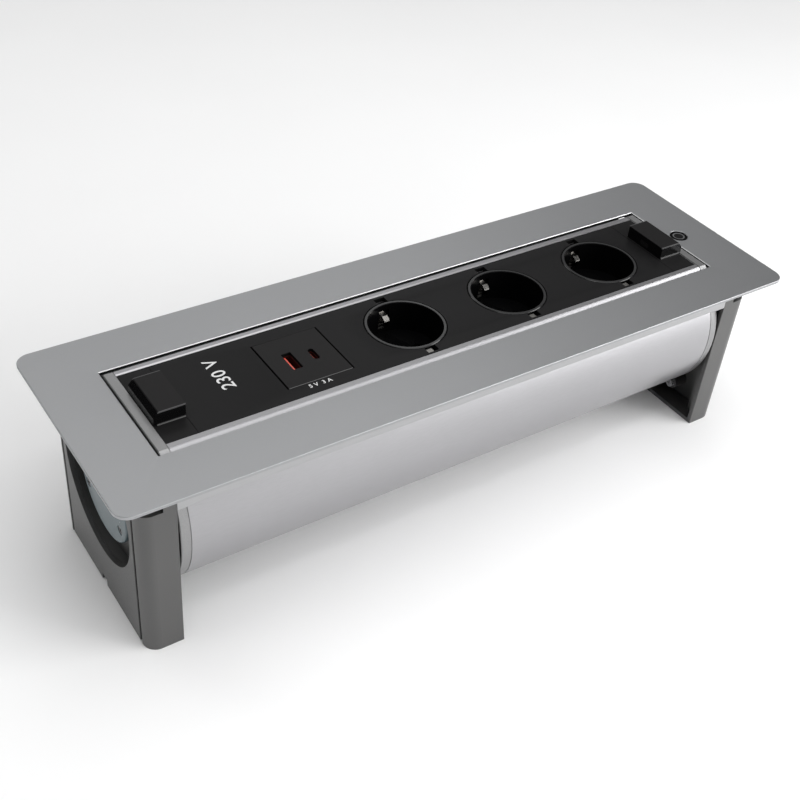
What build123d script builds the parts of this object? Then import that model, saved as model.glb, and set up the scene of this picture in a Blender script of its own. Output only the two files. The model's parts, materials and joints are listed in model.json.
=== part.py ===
from build123d import *
import math
import os

os.makedirs("parts", exist_ok=True)

# ---------------------------------------------------------------- driving sizes (mm)
H = 104.0            # height of the desk plate's top face above the feet
PT = 1.6             # desk plate thickness
U = H - PT           # underside of the desk plate
PL, PW, PR = 400.0, 124.5, 7.5       # desk plate
OL, OW = 338.0, 66.4                 # opening in the desk plate

AXIS_DROP = 40.3     # rotor axis below the plate's top face
RZ = H - AXIS_DROP   # height of the rotor axis
RR = 50.6            # rotor radius
XS = 162.8           # seam between the rotor extrusion and its end caps
XR = 168.0           # half length of the rotor
WALL = 2.0           # rotor extrusion wall
LIP = 27.4           # inner edge of the two top rails of the extrusion

PANEL_TOP = H - 0.4
PANEL_T = 2.5
PANEL_SEAM = 146.7   # seam between the socket panel and the end modules

SOCKET_X = (-17.5, 48.3, 114.1)
CUP_R = 21.3
RECESS_R = 19.8
RECESS_DEPTH = 17.8
PIN_PITCH = 19.0
PIN_HOLE_R = 2.75

USB_X, USB_L, USB_W = -78.3, 36.0, 37.4
USB_A = (-84.1, -0.2)
USB_C = (-71.9, -0.1)

BX0, BX1, BY = 169.0, 187.3, 50.5    # bracket: inner face, outer face, half depth
LEG_R = 7.0
BORE_R = 37.6        # round opening at each end
WEB0, WEB1 = 177.0, 179.5            # bearing web of the bracket

STUD_Y = 44.3
STUD_X = 177.0
BTN_X = 176.4
BT = H - 0.5         # level of the push button's seat in the plate


def yz(x, z=RZ, y=0.0):
    """Sketch plane square to the rotor axis: local x is +Y, local y is +Z."""
    return Plane(origin=(x, y, z), x_dir=(0, 1, 0), z_dir=(1, 0, 0))


def gear_outline(teeth, module, r_tip, r_root, thin, angle, phase):
    """Closed list of points of a spur gear with involute flanks."""
    pitch_r = teeth * module / 2
    base_r = pitch_r * math.cos(angle)
    half = math.pi / (2 * teeth) - thin / (2 * pitch_r)
    inv_pitch = math.tan(angle) - angle
    start = max(base_r, r_root)
    radii = [start + (r_tip - start) * i / 3 for i in range(4)]
    offsets = []
    for r in radii:
        a = math.acos(min(1.0, base_r / r))
        offsets.append(half + inv_pitch - (math.tan(a) - a))
    points = []
    for k in range(teeth):
        mid = phase + 2 * math.pi * k / teeth
        flank = list(zip(radii, offsets))
        if r_root < base_r:
            flank.insert(0, (r_root, offsets[0]))
        for r, o in flank:
            points.append((r * math.cos(mid - o), r * math.sin(mid - o)))
        for r, o in reversed(flank):
            points.append((r * math.cos(mid + o), r * math.sin(mid + o)))
    return points


# ================================================================ desk plate and its frame
with BuildPart() as top_plate:
    with BuildSketch(Plane.XY.offset(U)):
        RectangleRounded(PL, PW, PR)
        RectangleRounded(OL, OW, 0.4, mode=Mode.SUBTRACT)
        with Locations((BTN_X, 0)):
            Circle(4.05, mode=Mode.SUBTRACT)
    extrude(amount=PT)
    top_face = top_plate.faces().sort_by(Axis.Z)[-1]
    chamfer(top_face.outer_wire().edges(), length=0.15)
    opening_edges = (
        top_plate.edges().group_by(Axis.Z)[-1].filter_by(GeomType.LINE).filter_by(
            lambda e: abs(e.center().X) < 170 and abs(e.center().Y) < 34
        )
    )
    chamfer(opening_edges, length=0.35)
    # shallow seat for the push button
    with BuildSketch(Plane.XY.offset(BT)):
        with Locations((BTN_X, 0)):
            Circle(5.4)
    extrude(amount=1.0, mode=Mode.SUBTRACT)
    seat_edge = top_plate.edges().filter_by(GeomType.CIRCLE).filter_by(
        lambda e: abs(e.radius - 5.4) < 0.01 and e.center().Z > H - 0.01
    )
    chamfer(seat_edge, length=0.12)
top_plate.part.label = "top_plate"
export_step(top_plate.part, "parts/top_plate.step")

stud_spots = [(sx * x, sy * STUD_Y) for sx in (-1, 1) for sy in (-1, 1) for x in (90.0, STUD_X)]
bracket_spots = [p for p in stud_spots if abs(p[0]) > 170]
rail_spots = [p for p in stud_spots if abs(p[0]) < 170]

with BuildPart() as plate_studs:
    with BuildSketch(Plane.XY.offset(U - 9.0)):
        with Locations(*bracket_spots):
            Circle(1.5)
    extrude(amount=9.0)
    with BuildSketch(Plane.XY.offset(U - 6.0)):
        with Locations(*rail_spots):
            Circle(1.5)
    extrude(amount=6.0)
plate_studs.part.label = "plate_studs"
export_step(plate_studs.part, "parts/plate_studs.step")

with BuildPart() as plate_nuts:
    with BuildSketch(Plane.XY.offset(U - 6.9)):
        with Locations(*bracket_spots):
            RegularPolygon(3.15, 6)
            Circle(1.52, mode=Mode.SUBTRACT)
    extrude(amount=2.4)
    with BuildSketch(Plane.XY.offset(U - 3.9)):
        with Locations(*rail_spots):
            RegularPolygon(3.15, 6)
            Circle(1.52, mode=Mode.SUBTRACT)
    extrude(amount=2.4)
plate_nuts.part.label = "plate_nuts"
export_step(plate_nuts.part, "parts/plate_nuts.step")

with BuildPart() as front_rail:
    # L-shaped rail: a web that hides the gap and a flange under the plate
    with BuildSketch(Plane.YZ.offset(-(BX0 - 0.1))):
        with Locations((-49.25, U - 8.0)):
            Rectangle(2.5, 16.0)
        with Locations((-44.0, U - 0.75)):
            Rectangle(8.0, 1.5)
    extrude(amount=2 * (BX0 - 0.1))
    # tongues that reach under the plate into the brackets
    with BuildSketch(Plane.XY.offset(U - 1.5)):
        with Locations((-(BX0 - 0.1) - 6.5 + 0.5, -43.95), (BX0 - 0.1 + 6.5 - 0.5, -43.95)):
            Rectangle(13.0, 7.7)
    extrude(amount=1.5)
    # low lugs at the ends of the web
    with BuildSketch(Plane.XZ.offset(48.0)):
        for s in (-1, 1):
            with Locations((s * 164.95, H - 16.35)):
                Rectangle(7.9, 3.3)
    extrude(amount=2.5)
    with BuildSketch(Plane.XY.offset(U - 1.5)):
        with Locations(*[p for p in stud_spots if p[1] < 0]):
            Circle(1.6)
    extrude(amount=1.5, mode=Mode.SUBTRACT)
front_rail.part.label = "front_rail"
export_step(front_rail.part, "parts/front_rail.step")

with BuildPart() as rear_rail:
    mirror(front_rail.part, about=Plane.XZ)
rear_rail.part.label = "rear_rail"
export_step(rear_rail.part, "parts/rear_rail.step")

# ================================================================ brackets
with BuildPart() as bracket_blank:
    with BuildSketch(Plane.XY):
        with Locations(((BX0 + BX1) / 2, 0)):
            Rectangle(BX1 - BX0, 2 * BY)
    extrude(amount=U)
    corner_edges = bracket_blank.edges().filter_by(Axis.Z).filter_by(lambda e: e.center().X > BX1 - 1)
    fillet(corner_edges, radius=LEG_R)
    inner_edges = bracket_blank.edges().filter_by(Axis.Z).filter_by(lambda e: e.center().X < BX0 + 0.1)
    fillet(inner_edges, radius=0.3)
    # open towards the rotor
    with BuildSketch(Plane.XY.offset(2.5)):
        with Locations(((BX0 + 182.3) / 2, 0)):
            Rectangle(182.3 - BX0, 96.0)
        for s in (-1, 1):
            with Locations((183.5, s * 45.9)):
                Rectangle(2.8, 3.8)
    extrude(amount=U, mode=Mode.SUBTRACT)
    # top flanges for the plate's studs
    with BuildSketch(Plane.XY.offset(U - 4.5)):
        for s in (-1, 1):
            with Locations(((BX0 + 182.4) / 2, s * 44.1)):
                Rectangle(182.4 - BX0, 7.8)
    extrude(amount=3.0)
    # recess for the end cover
    with BuildSketch(Plane.XY):
        with Locations((184.8 + 2.0, 0)):
            Rectangle(4.0, 86.4)
    extrude(amount=U, mode=Mode.SUBTRACT)
    # ribs and bosses in the foot
    with BuildSketch(Plane.XY.offset(2.4)):
        for y in (-14.0, 14.0):
            with Locations((177.2, y)):
                Rectangle(10.4, 1.8)
    extrude(amount=23.0)
    # hollow square columns up the legs
    with BuildSketch(Plane.XY.offset(2.4)):
        for s in (-1, 1):
            with Locations((179.0, s * 44.0)):
                Rectangle(7.6, 5.6)
                Rectangle(4.4, 2.6, mode=Mode.SUBTRACT)
    extrude(amount=84.0)
    # round hub: ring, web and the opening through the outer wall
    with BuildSketch(yz(WEB0)):
        Circle(40.0)
    extrude(amount=184.8 - WEB0)
    with BuildSketch(yz(WEB1)):
        Circle(BORE_R)
    extrude(amount=12.0, mode=Mode.SUBTRACT)
    with BuildSketch(Plane.XY.offset(U)):
        with Locations((178.0, 0)):
            Rectangle(30.0, 110.0)
    extrude(amount=20.0, mode=Mode.SUBTRACT)
    # slots high in the legs' faces, under the plate's rim
    with BuildSketch(Plane.XY.offset(H - 16.4)):
        for s in (-1, 1):
            with Locations((175.5 + 8.0, s * 49.9)):
                Rectangle(16.0, 4.0)
    extrude(amount=7.4, mode=Mode.SUBTRACT)
    # holes for studs and end cover screws
    with BuildSketch(Plane.XY.offset(U - 6.0)):
        with Locations((STUD_X, STUD_Y), (STUD_X, -STUD_Y)):
            Circle(1.6)
    extrude(amount=6.0, mode=Mode.SUBTRACT)

FOOT_Z = 14.0                       # height of the end cover screws
FOOT_RIGHT = ((-26.0, 0), (26.0, 0))
FOOT_LEFT = ((-35.5, 0), (10.5, 0))
GEAR_SCREW_R = 16.5
COVER_SCREW_R = 21.5

with BuildPart() as right_bracket:
    add(bracket_blank.part)
    with BuildSketch(yz(173.0, FOOT_Z)):
        with Locations(*FOOT_RIGHT):
            Circle(3.8)
    extrude(amount=9.4)
    with BuildSketch(yz(172.0, FOOT_Z)):
        with Locations(*FOOT_RIGHT):
            Circle(1.3)
    extrude(amount=13.0, mode=Mode.SUBTRACT)
    with BuildSketch(yz(WEB1)):
        Circle(13.5)
    extrude(amount=2.0)
    with BuildSketch(yz(WEB0 - 1.0)):
        Circle(9.5)
        with PolarLocations(GEAR_SCREW_R, 3, start_angle=30):
            Circle(1.2)
        with PolarLocations(COVER_SCREW_R, 3, start_angle=90):
            Circle(1.2)
    extrude(amount=6.0, mode=Mode.SUBTRACT)
    # room for the push button's body
    with BuildSketch(Plane.XY.offset(H - 11.5)):
        with Locations((BTN_X, 0)):
            Rectangle(12.4, 12.8)
    extrude(amount=12.0, mode=Mode.SUBTRACT)
right_bracket.part.label = "right_bracket"
export_step(right_bracket.part, "parts/right_bracket.step")

INLET_Y = 27.9       # power inlet and control board in the left bracket's foot
BOARD_Y = -12.5

with BuildPart() as left_bracket:
    mirror(bracket_blank.part, about=Plane.YZ)
    with BuildSketch(yz(-WEB1)):
        Circle(17.0)
    extrude(amount=-2.0)
    # stop blocks for the rotor's stop pin
    with BuildSketch(yz(-WEB0, RZ - 5.4)):
        with Locations((-31.5, 0), (31.5, 0)):
            Rectangle(5.0, 6.0)
    extrude(amount=6.6)
    with BuildSketch(yz(-WEB0 + 1.0)):
        Circle(14.0)
        with PolarLocations(COVER_SCREW_R, 3, start_angle=90):
            Circle(1.2)
    extrude(amount=-6.0, mode=Mode.SUBTRACT)
    # cut-out for the power inlet in the foot, with the rib beside it cleared
    with BuildSketch(Plane.XY):
        with Locations((-176.2, INLET_Y)):
            Rectangle(11.4, 24.0)
    extrude(amount=16.5, mode=Mode.SUBTRACT)
    # room for the control board
    with BuildSketch(Plane.XY.offset(4.0)):
        with Locations((-176.0, BOARD_Y)):
            Rectangle(10.0, 38.0)
    extrude(amount=17.5, mode=Mode.SUBTRACT)
    # bosses for the end cover screws
    with BuildSketch(yz(-173.0, FOOT_Z)):
        with Locations(*FOOT_LEFT):
            Circle(3.6)
    extrude(amount=-9.4)
    with BuildSketch(yz(-172.0, FOOT_Z)):
        with Locations(*FOOT_LEFT):
            Circle(1.3)
    extrude(amount=-13.0, mode=Mode.SUBTRACT)
left_bracket.part.label = "left_bracket"
export_step(left_bracket.part, "parts/left_bracket.step")

with BuildPart() as end_cover_blank:
    with BuildSketch(yz(184.9, 0.0)):
        with Locations((0, (U - 0.6) / 2 + 0.5)):
            Rectangle(84.9, U - 0.6)
        with Locations((0, RZ)):
            Circle(BORE_R, mode=Mode.SUBTRACT)
        with Locations((1.5, 2.0)):
            Rectangle(6.0, 5.0, mode=Mode.SUBTRACT)
    extrude(amount=2.4)
    foot_corners = end_cover_blank.edges().filter_by(Axis.X).filter_by(
        lambda e: e.center().Z < 1.0 and abs(e.center().Y) > 40
    )
    fillet(foot_corners, radius=2.5)

with BuildPart() as right_end_cover:
    add(end_cover_blank.part)
    with BuildSketch(yz(184.8, FOOT_Z)):
        with Locations(*FOOT_RIGHT):
            Circle(1.25)
    extrude(amount=1.8, mode=Mode.SUBTRACT)
right_end_cover.part.label = "right_end_cover"
export_step(right_end_cover.part, "parts/right_end_cover.step")

with BuildPart() as left_end_cover:
    mirror(end_cover_blank.part, about=Plane.YZ)
    with BuildSketch(yz(-184.8, FOOT_Z)):
        with Locations(*FOOT_LEFT):
            Circle(1.25)
    extrude(amount=-1.8, mode=Mode.SUBTRACT)
left_end_cover.part.label = "left_end_cover"
export_step(left_end_cover.part, "parts/left_end_cover.step")

with BuildPart() as end_cover_screws:
    for s, spots in ((1, FOOT_RIGHT), (-1, FOOT_LEFT)):
        with BuildSketch(yz(s * 171.0, FOOT_Z)):
            with Locations(*spots):
                Circle(2.5)
        extrude(amount=s * 2.0)
        with BuildSketch(yz(s * 173.0, FOOT_Z)):
            with Locations(*spots):
                Circle(1.25)
        extrude(amount=s * 13.5)
        with BuildSketch(yz(s * 171.0, FOOT_Z)):
            with Locations(*spots):
                Rectangle(3.4, 0.7)
                Rectangle(0.7, 3.4)
        extrude(amount=s * 0.9, mode=Mode.SUBTRACT)
end_cover_screws.part.label = "end_cover_screws"
export_step(end_cover_screws.part, "parts/end_cover_screws.step")

# ================================================================ bearings and hub covers
with BuildPart() as right_bush:
    with BuildSketch(yz(WEB0)):
        Circle(9.5)
    extrude(amount=4.5)
    with BuildSketch(yz(181.5)):
        Circle(11.0)
    extrude(amount=0.8)
    with BuildSketch(yz(WEB0 - 1)):
        Circle(7.05)
    extrude(amount=8.0, mode=Mode.SUBTRACT)
right_bush.part.label = "right_bush"
export_step(right_bush.part, "parts/right_bush.step")

with BuildPart() as left_bush:
    with BuildSketch(yz(-WEB0)):
        Circle(14.0)
    extrude(amount=-4.5)
    with BuildSketch(yz(-181.5)):
        Circle(15.5)
    extrude(amount=-0.8)
    with BuildSketch(yz(-WEB0 + 1)):
        Circle(11.05)
    extrude(amount=-8.0, mode=Mode.SUBTRACT)
left_bush.part.label = "left_bush"
export_step(left_bush.part, "parts/left_bush.step")

with BuildPart() as right_hub_cover:
    with BuildSketch(yz(WEB1)):
        Circle(27.0)
    extrude(amount=4.8)
    rim = right_hub_cover.edges().filter_by(GeomType.CIRCLE).sort_by(Axis.X)[-1]
    fillet(rim, radius=1.2)
    with BuildSketch(yz(WEB1 - 0.1)):
        Circle(25.2)
        with PolarLocations(COVER_SCREW_R, 3, start_angle=90):
            Circle(3.2, mode=Mode.SUBTRACT)
    extrude(amount=3.1, mode=Mode.SUBTRACT)
    with BuildSketch(yz(WEB1 - 0.1)):
        with PolarLocations(COVER_SCREW_R, 3, start_angle=90):
            Circle(1.3)
    extrude(amount=6.0, mode=Mode.SUBTRACT)
    with BuildSketch(yz(183.0)):
        with PolarLocations(COVER_SCREW_R, 3, start_angle=90):
            Circle(2.5)
    extrude(amount=2.0, mode=Mode.SUBTRACT)
right_hub_cover.part.label = "right_hub_cover"
export_step(right_hub_cover.part, "parts/right_hub_cover.step")

with BuildPart() as left_hub_cover:
    mirror(right_hub_cover.part, about=Plane.YZ)
left_hub_cover.part.label = "left_hub_cover"
export_step(left_hub_cover.part, "parts/left_hub_cover.step")

with BuildPart() as hub_screws:
    # three for each hub cover and three for the fixed gear, all the same size
    for s in (-1, 1):
        with BuildSketch(yz(s * 183.0)):
            with PolarLocations(COVER_SCREW_R, 3, start_angle=90):
                Circle(2.2)
        extrude(amount=s * 1.1)
        with BuildSketch(yz(s * 177.2)):
            with PolarLocations(COVER_SCREW_R, 3, start_angle=90):
                Circle(1.2)
        extrude(amount=s * 5.9)
        with BuildSketch(yz(s * 184.1)):
            with PolarLocations(COVER_SCREW_R, 3, start_angle=90):
                Rectangle(2.8, 0.6)
                Rectangle(0.6, 2.8)
        extrude(amount=-s * 0.7, mode=Mode.SUBTRACT)
    with BuildSketch(yz(WEB1)):
        with PolarLocations(GEAR_SCREW_R, 3, start_angle=30):
            Circle(2.2)
    extrude(amount=1.1)
    with BuildSketch(yz(174.7)):
        with PolarLocations(GEAR_SCREW_R, 3, start_angle=30):
            Circle(1.2)
    extrude(amount=5.0)
hub_screws.part.label = "hub_screws"
export_step(hub_screws.part, "parts/hub_screws.step")

# ================================================================ drive
SUN_T, PIN_T, MOD = 26, 10, 1.0
GEAR_A = (SUN_T + PIN_T) * MOD / 2      # centre distance, 18 mm
PA = math.radians(25)
ADD, DED, THIN = 0.8, 1.1, 0.2

with BuildPart() as fixed_gear:
    with BuildSketch(yz(169.7)):
        Polygon(
            *gear_outline(SUN_T, MOD, 13 + ADD, 13 - DED, THIN, PA, -math.pi / 2 + math.pi / SUN_T),
            align=None,
        )
    extrude(amount=5.0)
    with BuildSketch(yz(174.6)):
        Circle(20.0)
    extrude(amount=WEB0 - 174.6)
    with BuildSketch(yz(169.0)):
        Circle(8.6)
        with PolarLocations(GEAR_SCREW_R, 3, start_angle=30):
            Circle(1.2)
    extrude(amount=9.0, mode=Mode.SUBTRACT)
fixed_gear.part.label = "fixed_gear"
export_step(fixed_gear.part, "parts/fixed_gear.step")

MZ = RZ - GEAR_A     # height of the gearmotor's axis

with BuildPart() as drive_pinion:
    with BuildSketch(yz(169.9, MZ)):
        Polygon(
            *gear_outline(PIN_T, MOD, 5 + ADD, 5 - DED, THIN, PA, math.pi / 2),
            align=None,
        )
    extrude(amount=4.0)
    with BuildSketch(yz(168.4, MZ)):
        Circle(2.6)
    extrude(amount=1.6)
    with BuildSketch(yz(168.0, MZ)):
        Circle(1.5)
    extrude(amount=8.0, mode=Mode.SUBTRACT)
drive_pinion.part.label = "drive_pinion"
export_step(drive_pinion.part, "parts/drive_pinion.step")

with BuildPart() as motor_shaft:
    with BuildSketch(yz(150.0, MZ)):
        Circle(1.5)
    extrude(amount=24.2)
motor_shaft.part.label = "motor_shaft"
export_step(motor_shaft.part, "parts/motor_shaft.step")

with BuildPart() as motor_gearbox:
    with BuildSketch(yz(128.0, MZ)):
        Circle(9.5)
    extrude(amount=XS - 128.0)
    with BuildSketch(yz(149.8, MZ)):
        Circle(1.55)
    extrude(amount=20.0, mode=Mode.SUBTRACT)
    with BuildSketch(yz(154.5, MZ)):
        with Locations((-6.0, 0), (6.0, 0)):
            Circle(1.0)
    extrude(amount=20.0, mode=Mode.SUBTRACT)
    rings = motor_gearbox.edges().filter_by(GeomType.CIRCLE).filter_by(
        lambda e: abs(e.radius - 9.5) < 0.01
    )
    chamfer(rings, length=0.4)
motor_gearbox.part.label = "motor_gearbox"
export_step(motor_gearbox.part, "parts/motor_gearbox.step")

with BuildPart() as drive_motor:
    with BuildSketch(yz(98.0, MZ)):
        Circle(9.0)
    extrude(amount=30.0)
    with BuildSketch(yz(96.4, MZ)):
        Circle(3.0)
    extrude(amount=1.6)
    ends = drive_motor.edges().filter_by(GeomType.CIRCLE).filter_by(
        lambda e: abs(e.radius - 9.0) < 0.01
    ).sort_by(Axis.X)[0]
    fillet(ends, radius=1.0)
drive_motor.part.label = "drive_motor"
export_step(drive_motor.part, "parts/drive_motor.step")

# ================================================================ rotor
with BuildPart() as rotor_shell:
    with BuildSketch(yz(-XS)):
        Circle(RR)
        Rectangle(2 * RR + 2, 2 * AXIS_DROP, mode=Mode.INTERSECT)
    extrude(amount=2 * XS)
    with BuildSketch(yz(-XS)):
        Circle(RR - WALL)
        Rectangle(2 * RR, 2 * (AXIS_DROP - WALL), mode=Mode.INTERSECT)
    extrude(amount=2 * XS, mode=Mode.SUBTRACT)
    # rails with a ledge under the panels
    with BuildSketch(yz(-XS)):
        Circle(RR - 0.5)
        Rectangle(67.0, 2 * AXIS_DROP, mode=Mode.INTERSECT)
        Rectangle(2 * 25.4, 2 * AXIS_DROP, mode=Mode.SUBTRACT)
        with Locations((0, -3.0)):
            Rectangle(80.0, 2 * AXIS_DROP - 3.0, mode=Mode.SUBTRACT)
    extrude(amount=2 * XS)
    # screw ports along the whole length
    with BuildSketch(yz(-XS)):
        with Locations((38.5, 24.8), (-38.5, 24.8), (38.5, -24.8), (-38.5, -24.8)):
            Circle(3.4)
    extrude(amount=2 * XS)
    with BuildSketch(yz(-XS)):
        with Locations((38.5, 24.8), (-38.5, 24.8), (38.5, -24.8), (-38.5, -24.8)):
            Circle(1.4)
    extrude(amount=2 * XS, mode=Mode.SUBTRACT)
    # mouth for the panels
    with BuildSketch(yz(-XS)):
        with Locations((0, AXIS_DROP)):
            Rectangle(2 * LIP, 2 * (H - PANEL_TOP + PANEL_T))
        with Locations((0, AXIS_DROP - 3.0)):
            Rectangle(2 * 25.4, 6.0)
    extrude(amount=2 * XS, mode=Mode.SUBTRACT)
    lips = rotor_shell.edges().filter_by(Axis.X).filter_by(
        lambda e: e.center().Z > H - 0.01 and abs(abs(e.center().Y) - LIP) < 0.01
    )
    chamfer(lips, length=0.35, length2=0.9)
rotor_shell.part.label = "rotor_shell"
export_step(rotor_shell.part, "parts/rotor_shell.step")

cap_screw_spots = [(38.5, 24.8), (-38.5, 24.8), (38.5, -24.8), (-38.5, -24.8)]

with BuildPart() as right_end_cap:
    with BuildSketch(yz(XS)):
        Circle(RR)
        Rectangle(2 * RR + 2, 2 * AXIS_DROP, mode=Mode.INTERSECT)
    extrude(amount=XR - XS)
    rim = right_end_cap.faces().sort_by(Axis.X)[-1].edges()
    chamfer(rim, length=0.4)
    # narrow groove beside the extrusion
    with BuildSketch(yz(XS)):
        Circle(RR + 1)
        Circle(RR - 0.5, mode=Mode.SUBTRACT)
        with Locations((0, AXIS_DROP), (0, -AXIS_DROP)):
            Rectangle(2 * RR + 2, 1.0)
    extrude(amount=0.4, mode=Mode.SUBTRACT)
    with BuildSketch(yz(XS - 1)):
        Circle(7.0)
        with Locations(*cap_screw_spots):
            Circle(1.6)
        with Locations((0, -GEAR_A)):
            Circle(3.0)
        with Locations((-6.0, -GEAR_A), (6.0, -GEAR_A)):
            Circle(1.1)
    extrude(amount=8.0, mode=Mode.SUBTRACT)
    with BuildSketch(yz(XR - 1.9)):
        with Locations(*cap_screw_spots):
            Circle(3.1)
        with Locations((-6.0, -GEAR_A), (6.0, -GEAR_A)):
            Circle(2.1)
    extrude(amount=3.0, mode=Mode.SUBTRACT)
    with BuildSketch(yz(XR - 1.7)):
        with Locations((-44.5, 13.5)):
            Circle(2.5)
    extrude(amount=3.0, mode=Mode.SUBTRACT)
right_end_cap.part.label = "right_end_cap"
export_step(right_end_cap.part, "parts/right_end_cap.step")

with BuildPart() as left_end_cap:
    with BuildSketch(yz(-XS)):
        Circle(RR)
        Rectangle(2 * RR + 2, 2 * AXIS_DROP, mode=Mode.INTERSECT)
    extrude(amount=-(XR - XS))
    rim = left_end_cap.faces().sort_by(Axis.X)[0].edges()
    chamfer(rim, length=0.4)
    with BuildSketch(yz(-XS)):
        Circle(RR + 1)
        Circle(RR - 0.5, mode=Mode.SUBTRACT)
        with Locations((0, AXIS_DROP), (0, -AXIS_DROP)):
            Rectangle(2 * RR + 2, 1.0)
    extrude(amount=-0.4, mode=Mode.SUBTRACT)
    with BuildSketch(yz(-XS + 1)):
        Circle(11.05)
        with Locations(*cap_screw_spots):
            Circle(1.6)
        with Locations((31.5, 0)):
            Circle(2.0)
    extrude(amount=-8.0, mode=Mode.SUBTRACT)
    with BuildSketch(yz(-XR + 1.9)):
        with Locations(*cap_screw_spots):
            Circle(3.1)
    extrude(amount=-3.0, mode=Mode.SUBTRACT)
left_end_cap.part.label = "left_end_cap"
export_step(left_end_cap.part, "parts/left_end_cap.step")

with BuildPart() as rotor_screws:
    # four through each end cap into the extrusion, two small ones into the gearbox
    for s in (-1, 1):
        with BuildSketch(yz(s * (XR - 1.9))):
            with Locations(*cap_screw_spots):
                Circle(3.0)
        extrude(amount=s * 1.7)
        with BuildSketch(yz(s * 150.0)):
            with Locations(*cap_screw_spots):
                Circle(1.4)
        extrude(amount=s * (XR - 1.9 - 150.0))
        with BuildSketch(yz(s * (XR - 0.2))):
            with Locations(*cap_screw_spots):
                Rectangle(3.4, 0.7)
                Rectangle(0.7, 3.4)
        extrude(amount=-s * 1.0, mode=Mode.SUBTRACT)
    with BuildSketch(yz(XR - 1.9, MZ)):
        with Locations((-6.0, 0), (6.0, 0)):
            Circle(2.0)
    extrude(amount=1.6)
    with BuildSketch(yz(156.0, MZ)):
        with Locations((-6.0, 0), (6.0, 0)):
            Circle(1.0)
    extrude(amount=XR - 1.9 - 156.0)
rotor_screws.part.label = "rotor_screws"
export_step(rotor_screws.part, "parts/rotor_screws.step")

with BuildPart() as right_trunnion:
    with BuildSketch(yz(160.9)):
        Circle(8.2)
    extrude(amount=XS - 160.9)
    with BuildSketch(yz(XS)):
        Circle(7.0)
    extrude(amount=182.2 - XS)
    with BuildSketch(yz(160.0)):
        Circle(4.0)
    extrude(amount=30.0, mode=Mode.SUBTRACT)
right_trunnion.part.label = "right_trunnion"
export_step(right_trunnion.part, "parts/right_trunnion.step")

with BuildPart() as left_trunnion:
    with BuildSketch(yz(-160.3)):
        Circle(15.0)
    extrude(amount=-(XS - 160.3))
    with BuildSketch(yz(-XS)):
        Circle(11.0)
    extrude(amount=-(182.2 - XS))
    with BuildSketch(yz(-160.0)):
        Circle(8.5)
    extrude(amount=-30.0, mode=Mode.SUBTRACT)
left_trunnion.part.label = "left_trunnion"
export_step(left_trunnion.part, "parts/left_trunnion.step")

with BuildPart() as stop_pin:
    with BuildSketch(yz(-XS, RZ, 31.5)):
        Circle(2.0)
    extrude(amount=-(174.0 - XS))
stop_pin.part.label = "stop_pin"
export_step(stop_pin.part, "parts/stop_pin.step")

with BuildPart() as position_magnet:
    with BuildSketch(yz(XR - 1.7, RZ + 13.5, -44.5)):
        Circle(2.5)
    extrude(amount=1.6)
position_magnet.part.label = "position_magnet"
export_step(position_magnet.part, "parts/position_magnet.step")

with BuildPart() as position_sensors:
    for s in (-1, 1):
        with BuildSketch(Plane.XY.offset(RZ - s * 13.5 - 6.0)):
            with Locations((172.4, s * 45.6)):
                Rectangle(4.6, 4.8)
        extrude(amount=12.0)
        with BuildSketch(Plane.XY.offset(RZ - s * 13.5 - 1.8)):
            with Locations((169.7, s * 44.9)):
                Rectangle(0.9, 3.0)
        extrude(amount=3.6)
position_sensors.part.label = "position_sensors"
export_step(position_sensors.part, "parts/position_sensors.step")

# ================================================================ socket panel and end modules
with BuildPart() as socket_panel:
    with BuildSketch(Plane.XY.offset(PANEL_TOP - PANEL_T)):
        Rectangle(2 * PANEL_SEAM - 0.2, 2 * (LIP - 0.2))
        for x in SOCKET_X:
            with Locations((x, 0)):
                Circle(CUP_R + 0.5, mode=Mode.SUBTRACT)
                Rectangle(6.5, 2 * 25.8, mode=Mode.SUBTRACT)
        with Locations((USB_X, 0)):
            Rectangle(USB_L + 1.1, USB_W + 0.4, mode=Mode.SUBTRACT)
    extrude(amount=PANEL_T)
    # rear collars that hold the socket cups
    for x in SOCKET_X:
        with BuildSketch(Plane.XY.offset(PANEL_TOP - PANEL_T - 6.0)):
            with Locations((x, 0)):
                Circle(CUP_R + 2.0)
                Circle(CUP_R + 0.1, mode=Mode.SUBTRACT)
                Rectangle(7.5, 60.0, mode=Mode.SUBTRACT)
        extrude(amount=6.0)
socket_panel.part.label = "socket_panel"
export_step(socket_panel.part, "parts/socket_panel.step")

with BuildPart() as right_end_module:
    with BuildSketch(Plane.XY.offset(PANEL_TOP - PANEL_T)):
        with Locations(((PANEL_SEAM + 0.1 + XS - 0.15) / 2, 0)):
            Rectangle(XS - 0.15 - PANEL_SEAM - 0.1, 2 * (LIP - 0.2))
    extrude(amount=PANEL_T)
    with BuildSketch(Plane.XY.offset(PANEL_TOP - PANEL_T - 1)):
        with Locations((154.0, 0)):
            Rectangle(11.2, 6.0)
    extrude(amount=PANEL_T + 2, mode=Mode.SUBTRACT)
right_end_module.part.label = "right_end_module"
export_step(right_end_module.part, "parts/right_end_module.step")

with BuildPart() as left_end_module:
    mirror(right_end_module.part, about=Plane.YZ)
left_end_module.part.label = "left_end_module"
export_step(left_end_module.part, "parts/left_end_module.step")

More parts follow.
